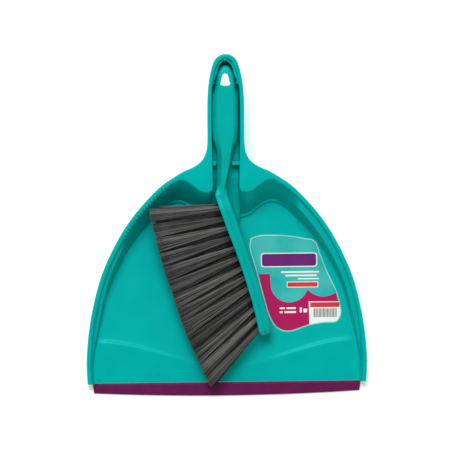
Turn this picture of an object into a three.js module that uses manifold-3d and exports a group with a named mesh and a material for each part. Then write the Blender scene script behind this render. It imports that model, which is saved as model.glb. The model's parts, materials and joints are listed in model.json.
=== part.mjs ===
// Dust pan with a rubber lip, and the hand brush that clips into its handle.
// Millimetres, +Z up. The pan's mouth faces -Y and its handle points to +Y. The origin is on the
// surface that the set rests on, under the middle of its outline.
import * as THREE from "three";
import { mergeVertices } from "three/addons/utils/BufferGeometryUtils.js";
import Module from "manifold-3d";

const wasm = await Module();
wasm.setup();

// ---- Driving dimensions ------------------------------------------------------------------------
const WALL = 2; // moulded wall thickness of the pan
const FIT_GAP = 0.35; // running gap between pieces that touch
const FLOOR_Z = 6; // top of the pan's floor
const FRONT_Y = -147; // front edge of the moulding, where the lip starts
const RIM_FRONT_Z = 13; // height of the rim's top at the front edge
const RIM_SLOPE = 0.17; // the rim, deck and handle top lie in one plane that rises to the back
const SKIRT = 5; // depth of the rim's turned-down edge
const STEP_WIDTH = 1.7; // steep step inside the rim
const STEP_DROP = 5;
const LEDGE_WIDTH = 4.3; // sloping ledge below the step
const LEDGE_DROP = 9;
const FOOT_STEP = 2.2; // height of the step at the foot of the back wall
const CREST_RISE = 0.9; // bead between the floor and the ramp
const CREST_BACK = 5; // length of the bead's back slope
const APRON_HALF = 124.6; // half width of the ramp
const APRON_FRONT_Z = 2.8; // top of the ramp at the front edge
const LIP_HALF = 126.3;
const LIP_FRONT_Y = -160;
const LIP_BOW = 3.5; // how far the lip's front edge curves back at its ends
const LIP_BACK_Z = 4;
const LIP_FRONT_Z = 1.6;
const TONGUE = 4; // length of the tongue that the lip grips
const CHANNEL_DEPTH_BELOW_BRUSH = 9.4; // channel floor under the middle of the brush handle
const SEAT_DEPTH = 8.9; // the ribs that the brush handle rests on, under its middle
const CHUTE_START_Y = 45; // the channel floor slopes down to the pan's floor from here ...
const CHUTE_END_Y = -9; // ... to here
const BRUSH_SLOPE = 0.13; // the brush lies on its side, tilted about X
const BRUSH_Z = 32.5; // middle plane of the brush at y = 0
const HEAD_HALF_WIDTH = 12;
const HOLE_DEPTH = 7.5;
const HOLE_RADIUS = 2.75;
const TUFT_RADIUS = 2.35;
const ROW_SPACING = 8;
const OUTER_ROW_TUFTS = 13;
const COMB_TEETH = 18;
const FOOT_RIB = 3; // thickness of the ribs that the pan rests on
const FEET_X = 45;
const FEET_FRONT_Y = -104;
const FEET_BACK_Y = 14;
const FEET_CROSS_Y = -58.75;
const TEAL = 0x00b0ad;

const rimZ = (y) => RIM_FRONT_Z + RIM_SLOPE * (y - FRONT_Y);
const brushZ = (y) => BRUSH_Z + BRUSH_SLOPE * y;
const lerp = THREE.MathUtils.lerp;
const smooth = THREE.MathUtils.smoothstep;

// ---- Solids ------------------------------------------------------------------------------------
// A closed geometry as a manifold-3d solid.
function solid(geometry) {
  const bare = geometry.index ? geometry.toNonIndexed() : geometry.clone();
  bare.deleteAttribute("normal");
  bare.deleteAttribute("uv");
  const merged = mergeVertices(bare, 1e-4);
  return new wasm.Manifold(
    new wasm.Mesh({
      numProp: 3,
      vertProperties: merged.attributes.position.array,
      triVerts: new Uint32Array(merged.index.array),
    }),
  );
}

function geometryOf(manifold) {
  const mesh = manifold.simplify(0.02).getMesh();
  return new THREE.BufferGeometry()
    .setAttribute("position", new THREE.BufferAttribute(new Float32Array(mesh.vertProperties), 3))
    .setIndex(new THREE.BufferAttribute(new Uint32Array(mesh.triVerts), 1));
}

// A closed solid through a stack of rings with equally many points; flatAxis is the one that the
// rings stack along, and the end caps are triangulated in the other two.
function loft(rings, flatAxis) {
  const [u, v] = ["x", "y", "z"].filter((axis) => axis !== flatAxis);
  const count = rings[0].length;
  const positions = rings.flat().flatMap((p) => [p.x, p.y, p.z]);
  const faces = [];
  for (let r = 0; r + 1 < rings.length; r++) {
    for (let i = 0; i < count; i++) {
      const j = (i + 1) % count;
      const [a, b] = [r * count + i, r * count + j];
      faces.push(a, b, b + count, a, b + count, a + count);
    }
  }
  const capRing = rings[0].map((p) => new THREE.Vector2(p[u], p[v]));
  const turns = THREE.ShapeUtils.isClockWise(capRing);
  const cap = THREE.ShapeUtils.triangulateShape(capRing, []);
  const last = (rings.length - 1) * count;
  for (const [a, b, c] of cap) {
    faces.push(...(turns ? [a, b, c] : [a, c, b]));
    faces.push(...(turns ? [last + a, last + c, last + b] : [last + a, last + b, last + c]));
  }
  const geometry = new THREE.BufferGeometry()
    .setAttribute("position", new THREE.Float32BufferAttribute(positions, 3))
    .setIndex(faces);
  const made = solid(geometry);
  if (made.volume() > 0) return made;
  for (let f = 0; f < faces.length; f += 3) [faces[f + 1], faces[f + 2]] = [faces[f + 2], faces[f + 1]];
  return solid(geometry.setIndex(faces));
}

const box = (x0, y0, z0, x1, y1, z1) =>
  solid(
    new THREE.BoxGeometry(x1 - x0, y1 - y0, z1 - z0).translate(
      (x0 + x1) / 2,
      (y0 + y1) / 2,
      (z0 + z1) / 2,
    ),
  );

// Points at equal steps along a smooth curve through the given [x, y] pairs.
const curve = (pairs, steps) =>
  new THREE.SplineCurve(pairs.map(([x, y]) => new THREE.Vector2(x, y))).getSpacedPoints(steps);

// A ring in plan from its right half, which runs from the front to the back, and its mirror image.
const mirrored = (half) => [
  ...half,
  ...half
    .filter((p) => Math.abs(p.x) > 1e-6)
    .map((p) => new THREE.Vector2(-p.x, p.y))
    .reverse(),
];

const raised = (ring, height) => ring.map((p, i) => new THREE.Vector3(p.x, p.y, height(p, i)));

// ---- Plan curves of the pan, right half, front to back -----------------------------------------
const OUTLINE = [
  [131.2, FRONT_Y],
  [131.7, -122],
  [127.4, -85],
  [115.9, -42],
  [93.8, 0.5],
  [65.3, 33.7],
  [41, 50.8],
  [28.5, 56.3],
  [20.8, 63.6],
  [17.5, 75],
  [17.2, 97],
  [17, 119],
  [15, 138.5],
  [9.8, 155],
  [0, 160],
];
const CAVITY_SIDE = [
  [127.4, FRONT_Y - 6],
  [127.9, -122],
  [123.6, -85],
  [112.3, -43.5],
  [90.9, -2],
  [63, 30.4],
  [42.4, 45.4],
];
const CAVITY_BACK = [
  [42.4, 45.4],
  [34, 40.3],
  [26.3, 34.3],
  [19.4, 31.4],
  [14, 33],
  [12.4, 38],
];
const FLOOR_SIDE = [
  [124.6, FRONT_Y - 6],
  [124.4, -122],
  [116.6, -85],
  [107, -52],
  [88.3, -17.6],
  [69.4, 4.3],
  [52, 19.3],
  [41, 21.4],
];
const FLOOR_BACK = [
  [41, 21.4],
  [33.3, 17.6],
  [25, 10.8],
  [17.5, 7.6],
  [12.4, 7.4],
];
const SIDE_STEPS = 30;
const BACK_STEPS = 12;

// Half of a curve that goes on as its own mirror image, so that it crosses the middle square.
const halfCurve = (pairs, steps) =>
  curve([...pairs, ...pairs.slice(0, -1).map(([x, y]) => [-x, y]).reverse()], 2 * steps).slice(0, steps + 1);
const join = (side, back) => [...curve(side, SIDE_STEPS), ...curve(back, BACK_STEPS).slice(1)];
const cavityHalf = join(CAVITY_SIDE, CAVITY_BACK);
const floorHalf = join(FLOOR_SIDE, FLOOR_BACK);
const outline = mirrored(halfCurve(OUTLINE, 64));
const cavityRing = mirrored(cavityHalf);
const floorRing = mirrored(floorHalf);

// How fully the ledge shows at a station of the wall: it fades at the back, and on the left it
// ends where the comb starts.
function ledgeWeight(p) {
  const end = p.x < 0 ? -12 : 28;
  const alongSide = 1 - smooth(p.y, end - 6, end + 6);
  return alongSide * smooth(p.y, -116, -96);
}
const footWeight = (p) => 1 - smooth(Math.abs(p.x), 44, 62);

// The wall's profile at one station: distance in from the rim's edge, and height.
function wallProfile(index) {
  const [top, foot] = [cavityRing[index], floorRing[index]];
  const width = top.distanceTo(foot);
  const [topZ, drop] = [rimZ(top.y), rimZ(top.y) - FLOOR_Z];
  const plain = (w) => topZ - (w / width) * drop;
  const ledge = ledgeWeight(top);
  const step = Math.min(STEP_WIDTH, width * 0.22);
  const shelf = step + Math.min(LEDGE_WIDTH, width * 0.42);
  const back = footWeight(top);
  const footIn = Math.max(width - 1.4, lerp(shelf, width, 0.66));
  const footOut = Math.max(width - 3.3, lerp(shelf, width, 0.33));
  return [
    [0, topZ - 0.3],
    [step, lerp(plain(step), topZ - STEP_DROP, ledge)],
    [shelf, lerp(plain(shelf), Math.max(topZ - LEDGE_DROP, FLOOR_Z + 1), ledge)],
    [footOut, lerp(plain(footOut), FLOOR_Z + FOOT_STEP + 0.3, back)],
    [footIn, lerp(plain(footIn), FLOOR_Z + FOOT_STEP, back)],
    [width, FLOOR_Z],
  ];
}

// Rings of the wall, moved out by a distance and down by a height.
function wallRings(out, down) {
  const profiles = cavityRing.map((_, i) => wallProfile(i));
  return profiles[0].map((_, level) =>
    cavityRing.map((top, i) => {
      const inward = floorRing[i].clone().sub(top).normalize();
      const [width, z] = profiles[i][level];
      const at = top.clone().addScaledVector(inward, width - out);
      return new THREE.Vector3(at.x, at.y, z - down);
    }),
  );
}

// ---- Pan ---------------------------------------------------------------------------------------
function bowlCavity() {
  const rings = wallRings(0, 0);
  const above = rings[0].map((p) => new THREE.Vector3(p.x, p.y, p.z + 40));
  return loft([above, ...rings], "z");
}

function bowlShell() {
  const rings = wallRings(WALL, 1.2);
  rings[0].forEach((p) => (p.z += 0.4));
  rings.at(-1).forEach((p) => (p.z = FLOOR_Z - WALL));
  const shell = loft(rings, "z");
  return shell.subtract(box(-200, -300, -50, 200, FRONT_Y, 200));
}

// The rim, deck and handle top: one plate with a turned-down edge.
function rimPlate() {
  const level = (ring, down) => raised(ring, (p) => rimZ(p.y) - down);
  const inset = (distance) =>
    outline.map((p, i) => {
      if (p.y <= FRONT_Y + 0.01) return new THREE.Vector2(p.x - Math.sign(p.x) * distance, p.y - 1);
      const before = outline[Math.max(i - 1, 0)];
      const after = outline[Math.min(i + 1, outline.length - 1)];
      const edge = after.clone().sub(before).normalize();
      return p.clone().add(new THREE.Vector2(-edge.y, edge.x).multiplyScalar(distance));
    });
  const outer = loft([level(outline, SKIRT), level(inset(0), 0.8), level(inset(0.5), 0)], "z");
  const hollow = loft([level(inset(1.3), SKIRT + 5), level(inset(1.3), WALL)], "z");
  const closedFront = hollow.subtract(box(-200, -300, -50, 200, FRONT_Y + 4, 200));
  return outer.subtract(closedFront).subtract(box(-200, -300, -50, 200, FRONT_Y, 200));
}

// Half widths of the handle's outside and of its channel along y.
const along = (pairs) => {
  const ys = pairs.map(([y]) => y);
  return (y) => {
    const i = Math.min(Math.max(ys.findIndex((v) => v >= y), 1), ys.length - 1);
    const t = THREE.MathUtils.clamp((y - ys[i - 1]) / (ys[i] - ys[i - 1]), 0, 1);
    return lerp(pairs[i - 1][1], pairs[i][1], t);
  };
};
const channelHalf = along([
  [-14, 12.6], [25, 12.4], [38, 12.4], [57, 12.8], [90, 13.4], [118, 13.3],
  [132, 12.5], [142, 10.9], [149, 8.5], [153.5, 5.6], [156.4, 2],
]);
const STATIONS = [25, 38, 57, 75, 90, 105, 118, 125, 132, 137, 142, 146, 149, 151.5, 153.5, 155.2, 156.4];

const chuteSlope =
  (brushZ(CHUTE_START_Y) - CHANNEL_DEPTH_BELOW_BRUSH - FLOOR_Z) / (CHUTE_START_Y - CHUTE_END_Y);
const channelZ = (y) =>
  y >= CHUTE_START_Y
    ? brushZ(y) - CHANNEL_DEPTH_BELOW_BRUSH
    : FLOOR_Z + chuteSlope * (y - CHUTE_END_Y);

// A U section of the channel at y: top half width, height of its top, and its rounded bottom.
function channelSection(y, half, topZ, bottomZ, round) {
  const low = Math.max(half - 0.02 * (topZ - bottomZ), 1);
  const r = Math.min(round, low * 0.8);
  const right = [
    [half, topZ],
    [lerp(half, low, 0.9), bottomZ + r],
    [low - 0.3 * r, bottomZ + 0.3 * r],
    [low - r, bottomZ],
  ];
  const ring = [...right, ...right.map(([x, z]) => [-x, z]).reverse()];
  return ring.map(([x, z]) => new THREE.Vector3(x, y, z));
}

function handleOutside() {
  const outside = along([
    [5, 14.3], [25, 14.6], [38, 14.8], [57, 15.2], [90, 15.8], [118, 15.7],
    [132, 14.9], [142, 13.3], [149, 10.9], [153.5, 8], [158.4, 3],
  ]);
  const stations = [5, 15, ...STATIONS.slice(0, -2), 158.4];
  return loft(
    stations.map((y) => channelSection(y, outside(y), rimZ(y) - 1, channelZ(y) - WALL, 5)),
    "y",
  );
}

function handleChannel() {
  const stations = [-12, CHUTE_END_Y, 0, 10, 25, 38, CHUTE_START_Y, ...STATIONS.slice(2)];
  return loft(
    stations.map((y) =>
      channelSection(y, channelHalf(y), rimZ(y) + 20, Math.max(channelZ(y), FLOOR_Z), y > 30 ? 4 : 1),
    ),
    "y",
  );
}

// The slab of the chute that leads the channel down to the pan's floor.
function chuteSlab() {
  const ys = [CHUTE_END_Y, 10, 25, 38, CHUTE_START_Y];
  const line = (x, drop) => ys.map((y) => new THREE.Vector3(x, y, channelZ(y) - drop));
  return loft(
    [-13.4, 13.4].map((x) => [...line(x, 0), ...line(x, WALL + 0.4).reverse()]),
    "x",
  );
}

// Ribs in the channel that hold the brush handle, beside it and under it.
function channelRib(y0, y1, handleHalf, centreX, aboveBrush) {
  const half = channelHalf((y0 + y1) / 2) + 1;
  const middle = brushZ((y0 + y1) / 2);
  const rib = box(-half, y0, middle - 12, half, y1, middle + aboveBrush);
  const seat = box(
    centreX - handleHalf - 0.5, y0 - 1, middle - SEAT_DEPTH,
    centreX + handleHalf + 0.5, y1 + 1, middle + 20,
  );
  return rib.subtract(seat);
}

// A pear-shaped hole right through both handles.
function hangHole(margin) {
  const arc = (y, radius, from) =>
    Array.from({ length: 9 }, (_, i) => {
      const turn = from + (i / 8) * Math.PI;
      return new THREE.Vector2((radius + margin) * Math.cos(turn), y + (radius + margin) * Math.sin(turn));
    });
  const ring = [...arc(139.4, 2.9, 0), ...arc(135.4, 5, Math.PI)];
  return loft([raised(ring, () => 0), raised(ring, () => 90)], "z");
}

// The ramp from the crest down to the front edge, with the tongue that the lip grips.
const crestY = (x) => -121.6 - 11.9 * Math.cos((Math.PI * x) / 120.6);
function apronColumns(section) {
  const columns = Array.from({ length: 25 }, (_, i) => lerp(-APRON_HALF, APRON_HALF, i / 24));
  return loft(
    columns.map((x) => section(x).map(([y, z]) => new THREE.Vector3(x, y, z))),
    "x",
  );
}
function apron() {
  return apronColumns((x) => {
    const crest = crestY(x);
    const rise = CREST_RISE * smooth(Math.abs(x), 20, 90);
    return [
      [crest + CREST_BACK, FLOOR_Z],
      [crest, FLOOR_Z + rise],
      [FRONT_Y, APRON_FRONT_Z],
      [FRONT_Y, APRON_FRONT_Z - 0.5],
      [FRONT_Y - TONGUE, APRON_FRONT_Z - 0.5],
      [FRONT_Y - TONGUE, APRON_FRONT_Z - 1.5],
      [FRONT_Y, APRON_FRONT_Z - 1.5],
      [FRONT_Y, APRON_FRONT_Z - WALL],
      [crest, FLOOR_Z - WALL + rise * 0.5],
      [crest + CREST_BACK, FLOOR_Z - WALL],
    ];
  });
}
function spaceBeforeCrest() {
  return apronColumns((x) => [
    [crestY(x) + CREST_BACK - 0.4, FLOOR_Z + 2.3],
    [FRONT_Y - 20, FLOOR_Z + 2.3],
    [FRONT_Y - 20, -5],
    [crestY(x) + CREST_BACK - 0.4, -5],
  ]);
}

// Ribs under the floor that the pan rests on, level with the lip.
function feet() {
  const rail = (x) =>
    box(x - FOOT_RIB / 2, FEET_FRONT_Y, 0, x + FOOT_RIB / 2, FEET_BACK_Y, FLOOR_Z - WALL / 2);
  const [y0, y1] = [FEET_CROSS_Y - FOOT_RIB / 2, FEET_CROSS_Y + FOOT_RIB / 2];
  const cross = box(-FEET_X, y0, 0, FEET_X, y1, FLOOR_Z - WALL / 2);
  return [rail(-FEET_X), rail(FEET_X), cross];
}

// Short ribs on the left of the rim that comb the bristles clean.
function combTeeth() {
  const teeth = [];
  const path = halfCurve(OUTLINE, 200).filter((p) => p.y > -10 && p.y < 41.5);
  for (let i = 0; i < COMB_TEETH; i++) {
    const place = ((i + 0.5) / COMB_TEETH) * (path.length - 2);
    const at = path[Math.floor(place)];
    const next = path[Math.floor(place) + 1];
    const turn = Math.atan2(next.y - at.y, -(next.x - at.x));
    const tooth = new THREE.BoxGeometry(2, 3.4, 2.2)
      .rotateX(Math.atan(RIM_SLOPE))
      .rotateZ(turn)
      .translate(-at.x + 2.9 * Math.sin(turn), at.y - 2.9 * Math.cos(turn), rimZ(at.y) - 0.6);
    teeth.push(solid(tooth));
  }
  return teeth;
}

function panSolid() {
  let pan = rimPlate().add(bowlShell()).add(handleOutside()).subtract(bowlCavity());
  pan = pan.subtract(spaceBeforeCrest()).add(apron());
  pan = pan.add(chuteSlab()).subtract(handleChannel());
  // the tabs at the brush's neck, then the shelf beside and under its tip
  pan = pan.add(channelRib(57, 60.8, 6.9, -1.6, 3)).add(channelRib(133.6, 137.2, 9.3, 0, 2));
  pan = pan.add(box(-10.5, 137.2, brushZ(140) - 12, 10.5, 144.5, brushZ(137) - SEAT_DEPTH));
  pan = pan.subtract(hangHole(0.4));
  for (const foot of feet()) pan = pan.add(foot);
  for (const tooth of combTeeth()) pan = pan.add(tooth);
  return pan;
}

// ---- Lip ---------------------------------------------------------------------------------------
function lipSolid() {
  const columns = Array.from({ length: 21 }, (_, i) => lerp(-1, 1, i / 20));
  const slotTop = APRON_FRONT_Z - 0.5 + FIT_GAP;
  const slotBottom = APRON_FRONT_Z - 1.5 - FIT_GAP;
  return loft(
    columns.map((t) => {
      const x = t * LIP_HALF;
      const front = LIP_FRONT_Y + LIP_BOW * t * t;
      const section = [
        [FRONT_Y - FIT_GAP, 0],
        [FRONT_Y - FIT_GAP, slotBottom],
        [FRONT_Y - TONGUE - FIT_GAP, slotBottom],
        [FRONT_Y - TONGUE - FIT_GAP, slotTop],
        [FRONT_Y - FIT_GAP, slotTop],
        [FRONT_Y - FIT_GAP, LIP_BACK_Z],
        [FRONT_Y - 2, LIP_BACK_Z],
        [front, LIP_FRONT_Z],
        [front, 0],
      ];
      const slant = Math.abs(t) === 1 ? 1.2 / (FRONT_Y - LIP_FRONT_Y) : 0;
      return section.map(
        ([y, z]) => new THREE.Vector3(x - Math.sign(t) * slant * (FRONT_Y - y), y, z),
      );
    }),
    "x",
  );
}

// ---- Label -------------------------------------------------------------------------------------
function labelGeometry() {
  const edge = [
    [24, -12], [33, -9.4], [45.5, -9], [60, -10], [74, -12.4], [84.5, -15.5], [90, -29],
    [96, -44.5], [104, -61.5], [107.6, -74], [108.6, -84], [104, -91.6], [92.4, -92.6],
    [78, -95], [60, -100.6], [48, -97.4], [40.5, -86], [34.6, -66], [28.4, -41.5], [23, -22],
  ];
  const points = new THREE.SplineCurve(
    [...edge, edge[0]].map(([x, y]) => new THREE.Vector2(x, y)),
  ).getSpacedPoints(60);
  points.pop();
  return new THREE.ExtrudeGeometry(new THREE.Shape(points), {
    depth: 0.35,
    bevelEnabled: false,
  }).translate(0, 0, FLOOR_Z + 0.1);
}

// ---- Brush, in its own frame: it lies in the XY plane and its width runs along Z ----------------
const ROOT_LINE = [[-10.6, 29.5], [-2.2, 5.2], [11.7, -32.8], [23.3, -70.8], [30.8, -104.5]];
const BACK_LINE = [[1.6, 31], [10.6, 5.2], [23.1, -32.8], [35.2, -70.8], [42.3, -101]];
const TIP_LINE = [[-73.4, 17.2], [-63.7, -24.2], [-51.7, -63.2], [-37.8, -104], [-15, -155.6]];
const HANDLE = [
  // y, centre x, half width, half thickness
  [26, -4.6, 4.9, 8.6], [33.7, -5.1, 4.4, 8.2], [43.2, -4, 5, 7.8], [52.7, -2.5, 6, 7.6],
  [62.2, -1.4, 6.7, 7.6], [71.7, -0.8, 7.7, 7.8], [81.2, -0.7, 9.1, 8], [92.6, -0.7, 10.1, 8],
  [109.7, -0.6, 10.2, 8], [124, -0.4, 9.8, 7.8], [134, 0, 9, 7.4], [143, 0.1, 7.4, 6.8],
  [147.5, 0.1, 5.2, 6], [150, 0.1, 3, 5], [151, 0.1, 1.2, 4],
];
const rootLine = curve(ROOT_LINE, 26);
const backLine = curve(BACK_LINE, 26);

function headSolid() {
  const profile = [[0, 1], [0.48, 1], [0.8, 0.84], [1, 0.62]]; // height share, half-width share
  return loft(
    rootLine.map((root, i) => {
      const at = (share) => root.clone().lerp(backLine[i], share);
      const taper = i < 3 ? lerp(0.74, 1, i / 3) : 1;
      const side = profile.map(([height, half]) => {
        const p = at(height);
        return new THREE.Vector3(p.x, p.y, half * taper * HEAD_HALF_WIDTH);
      });
      return [...side, ...side.map((p) => new THREE.Vector3(p.x, p.y, -p.z)).reverse()];
    }),
    "y",
  );
}

function brushHandle() {
  const corners = [
    [1, 0.45], [0.62, 1], [-0.62, 1], [-1, 0.45], [-1, -0.45], [-0.62, -1], [0.62, -1], [1, -0.45],
  ];
  return loft(
    HANDLE.map(([y, centre, half, thick]) =>
      corners.map(([u, w]) => new THREE.Vector3(centre + u * half, y, w * thick)),
    ),
    "y",
  );
}

// Every tuft: its row (1 is the upper one), and its root and tip in the brush's frame.
function tuftPlaces() {
  const places = [];
  const [roots, tips] = [curve(ROOT_LINE, 200), curve(TIP_LINE, 200)];
  const rows = [
    { letter: "a", row: 1, count: OUTER_ROW_TUFTS },
    { letter: "b", row: 0, count: OUTER_ROW_TUFTS - 1 },
    { letter: "c", row: -1, count: OUTER_ROW_TUFTS },
  ];
  for (const { letter, row, count } of rows) {
    const shift = row === 0 ? 1 : 0.5;
    for (let i = 0; i < count; i++) {
      const share = (i + shift) / OUTER_ROW_TUFTS;
      const rootShare = lerp(0.056, 0.985, share);
      const root = roots[Math.round(rootShare * 200)];
      const tip = tips[Math.round(share * 200)].clone();
      const spacing = lerp(8.3, 6.2, smooth(share, 0.4, 1));
      const nearWall = Math.max(0, 1 - share / 0.22) * (1 - row) * 5.5;
      const inward = root.clone().sub(tip).normalize();
      tip.addScaledVector(inward, nearWall);
      places.push({
        name: `tuft_${letter}${String(i + 1).padStart(2, "0")}`,
        root: new THREE.Vector3(root.x, root.y, row * ROW_SPACING),
        tip: new THREE.Vector3(tip.x, tip.y, row * spacing + 2 * smooth(share, 0.5, 1)),
        halfThick: spacing / 2 - 0.25,
        halfLong: 6.45 - 1.6 * smooth(share, 0.75, 1),
      });
    }
  }
  return places;
}

// A tuft: a round root in its hole that fans out to a flat tip.
function tuftSolid({ root, tip, halfThick, halfLong }) {
  const axis = tip.clone().sub(root).normalize();
  const across = new THREE.Vector3(0, 0, 1).cross(axis).normalize();
  const sections = [
    [root.clone().addScaledVector(axis, 0.4 - HOLE_DEPTH), TUFT_RADIUS, TUFT_RADIUS],
    [root.clone().addScaledVector(axis, 1), TUFT_RADIUS, TUFT_RADIUS],
    [tip, halfLong, halfThick],
  ];
  const count = 8;
  return loft(
    sections.map(([centre, wide, thick]) =>
      Array.from({ length: count }, (_, i) => {
        const turn = ((i + 0.5) / count) * 2 * Math.PI;
        const p = centre.clone().addScaledVector(across, (wide * Math.cos(turn)) / 0.924);
        p.z += (thick * Math.sin(turn)) / 0.924;
        return p;
      }),
    ),
    "x",
  );
}

function tuftHole({ root, tip }) {
  const axis = root.clone().sub(tip).normalize();
  const hole = new THREE.CylinderGeometry(HOLE_RADIUS, HOLE_RADIUS, HOLE_DEPTH + 6, 10);
  const turn = new THREE.Quaternion().setFromUnitVectors(new THREE.Vector3(0, 1, 0), axis);
  const centre = root.clone().addScaledVector(axis, (HOLE_DEPTH - 6) / 2);
  return solid(hole.applyQuaternion(turn).translate(centre.x, centre.y, centre.z));
}

function brushSolid(places) {
  let brush = headSolid().add(brushHandle()).subtract(hangHole(0).translate(0, 0, -45));
  for (const place of places) brush = brush.subtract(tuftHole(place));
  return brush;
}

// ---- Assembly ----------------------------------------------------------------------------------
const plastic = (color, roughness) => new THREE.MeshStandardMaterial({ color, roughness, metalness: 0 });
const teal = plastic(TEAL, 0.4);
const bristle = plastic(0x3c3c3e, 0.55);

function named(name, geometry, material) {
  const mesh = new THREE.Mesh(geometry, material);
  mesh.name = name;
  return mesh;
}

const set = new THREE.Group();
set.add(named("pan", geometryOf(panSolid()), teal));
set.add(named("lip", geometryOf(lipSolid()), plastic(0x5c1648, 0.5)));
set.add(named("label", labelGeometry(), plastic(0xb0125c, 0.35)));

const brush = new THREE.Group();
brush.rotation.x = Math.atan(BRUSH_SLOPE);
brush.position.z = BRUSH_Z;
const places = tuftPlaces();
brush.add(named("brush_body", geometryOf(brushSolid(places)), teal));
for (const place of places) brush.add(named(place.name, geometryOf(tuftSolid(place)), bristle));
set.add(brush);

export default set;
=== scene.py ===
"""Dust pan with a rubber lip, and the hand brush that clips into its handle.

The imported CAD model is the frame. Every sub-part is modelled again here with its moulded edges,
filaments and print, and rides on the body of the CAD node that it stands for.
"""

import json
import math
import random

import bpy
from mathutils import Matrix, Vector
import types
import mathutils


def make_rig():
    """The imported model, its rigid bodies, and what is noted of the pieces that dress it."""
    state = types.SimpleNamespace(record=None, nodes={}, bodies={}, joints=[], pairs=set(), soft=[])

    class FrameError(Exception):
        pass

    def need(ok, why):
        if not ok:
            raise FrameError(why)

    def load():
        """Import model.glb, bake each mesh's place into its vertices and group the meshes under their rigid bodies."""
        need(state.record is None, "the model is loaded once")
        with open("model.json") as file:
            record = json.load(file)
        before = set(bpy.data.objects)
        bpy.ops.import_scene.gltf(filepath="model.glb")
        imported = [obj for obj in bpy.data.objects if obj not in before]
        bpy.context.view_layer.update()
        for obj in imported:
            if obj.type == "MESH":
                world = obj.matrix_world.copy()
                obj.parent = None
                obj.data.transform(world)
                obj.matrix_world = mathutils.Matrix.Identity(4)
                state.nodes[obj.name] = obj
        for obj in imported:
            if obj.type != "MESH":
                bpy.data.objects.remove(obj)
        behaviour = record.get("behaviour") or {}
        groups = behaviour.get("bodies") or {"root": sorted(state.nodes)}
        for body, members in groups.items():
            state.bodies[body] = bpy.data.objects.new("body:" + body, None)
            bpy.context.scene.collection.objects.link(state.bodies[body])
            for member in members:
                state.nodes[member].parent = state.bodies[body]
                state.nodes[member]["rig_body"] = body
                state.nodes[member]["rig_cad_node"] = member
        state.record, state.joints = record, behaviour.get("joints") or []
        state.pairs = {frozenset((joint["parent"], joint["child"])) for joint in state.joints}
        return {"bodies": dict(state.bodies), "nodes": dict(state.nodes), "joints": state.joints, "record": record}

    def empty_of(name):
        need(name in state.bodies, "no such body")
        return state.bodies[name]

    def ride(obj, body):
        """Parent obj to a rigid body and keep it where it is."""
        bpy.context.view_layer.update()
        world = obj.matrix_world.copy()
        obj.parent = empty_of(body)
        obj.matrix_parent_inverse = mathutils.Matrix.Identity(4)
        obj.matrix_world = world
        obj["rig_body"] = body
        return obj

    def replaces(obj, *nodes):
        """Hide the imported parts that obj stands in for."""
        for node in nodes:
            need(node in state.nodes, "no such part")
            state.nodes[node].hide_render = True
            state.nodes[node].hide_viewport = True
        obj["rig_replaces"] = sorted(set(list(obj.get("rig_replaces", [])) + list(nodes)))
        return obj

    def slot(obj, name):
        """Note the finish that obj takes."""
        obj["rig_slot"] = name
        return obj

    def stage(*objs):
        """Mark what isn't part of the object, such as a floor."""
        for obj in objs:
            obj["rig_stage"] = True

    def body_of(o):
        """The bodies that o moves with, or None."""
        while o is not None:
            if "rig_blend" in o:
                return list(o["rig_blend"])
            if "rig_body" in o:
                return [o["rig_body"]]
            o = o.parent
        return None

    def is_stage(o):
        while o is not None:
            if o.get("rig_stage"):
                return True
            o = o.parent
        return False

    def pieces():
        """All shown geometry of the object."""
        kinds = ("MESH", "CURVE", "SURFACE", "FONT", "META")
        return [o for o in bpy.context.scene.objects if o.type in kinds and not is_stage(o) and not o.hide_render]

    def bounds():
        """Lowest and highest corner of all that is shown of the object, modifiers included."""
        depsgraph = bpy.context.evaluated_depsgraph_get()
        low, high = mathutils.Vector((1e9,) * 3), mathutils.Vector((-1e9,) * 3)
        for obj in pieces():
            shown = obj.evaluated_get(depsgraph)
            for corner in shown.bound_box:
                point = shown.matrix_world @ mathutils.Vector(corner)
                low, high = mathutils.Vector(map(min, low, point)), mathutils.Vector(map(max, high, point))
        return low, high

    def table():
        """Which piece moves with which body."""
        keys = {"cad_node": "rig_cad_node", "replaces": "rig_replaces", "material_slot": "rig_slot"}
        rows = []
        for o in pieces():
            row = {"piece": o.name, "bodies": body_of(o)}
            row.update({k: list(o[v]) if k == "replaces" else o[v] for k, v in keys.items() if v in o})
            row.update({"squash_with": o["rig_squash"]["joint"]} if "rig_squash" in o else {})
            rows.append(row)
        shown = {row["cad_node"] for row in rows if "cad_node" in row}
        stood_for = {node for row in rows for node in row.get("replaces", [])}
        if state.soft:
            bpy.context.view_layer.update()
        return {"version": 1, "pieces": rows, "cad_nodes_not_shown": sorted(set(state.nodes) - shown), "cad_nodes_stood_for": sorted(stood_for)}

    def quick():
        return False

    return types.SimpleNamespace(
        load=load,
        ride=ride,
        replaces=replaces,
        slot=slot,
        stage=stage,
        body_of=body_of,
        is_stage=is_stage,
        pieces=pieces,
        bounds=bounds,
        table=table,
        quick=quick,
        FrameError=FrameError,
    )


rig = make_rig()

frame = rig.load()
CAD_BOX = [list(corner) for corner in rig.bounds()]

bl_info = {
    "name": "Dust pan and brush set",
    "version": (1, 0, 0),
    "blender": (4, 5, 0),
    "location": "View3D > Sidebar > Dust pan",
    "description": "Models a clip-together dust pan and hand brush around its CAD frame",
    "category": "Object",
}

MM = 0.001

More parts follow.
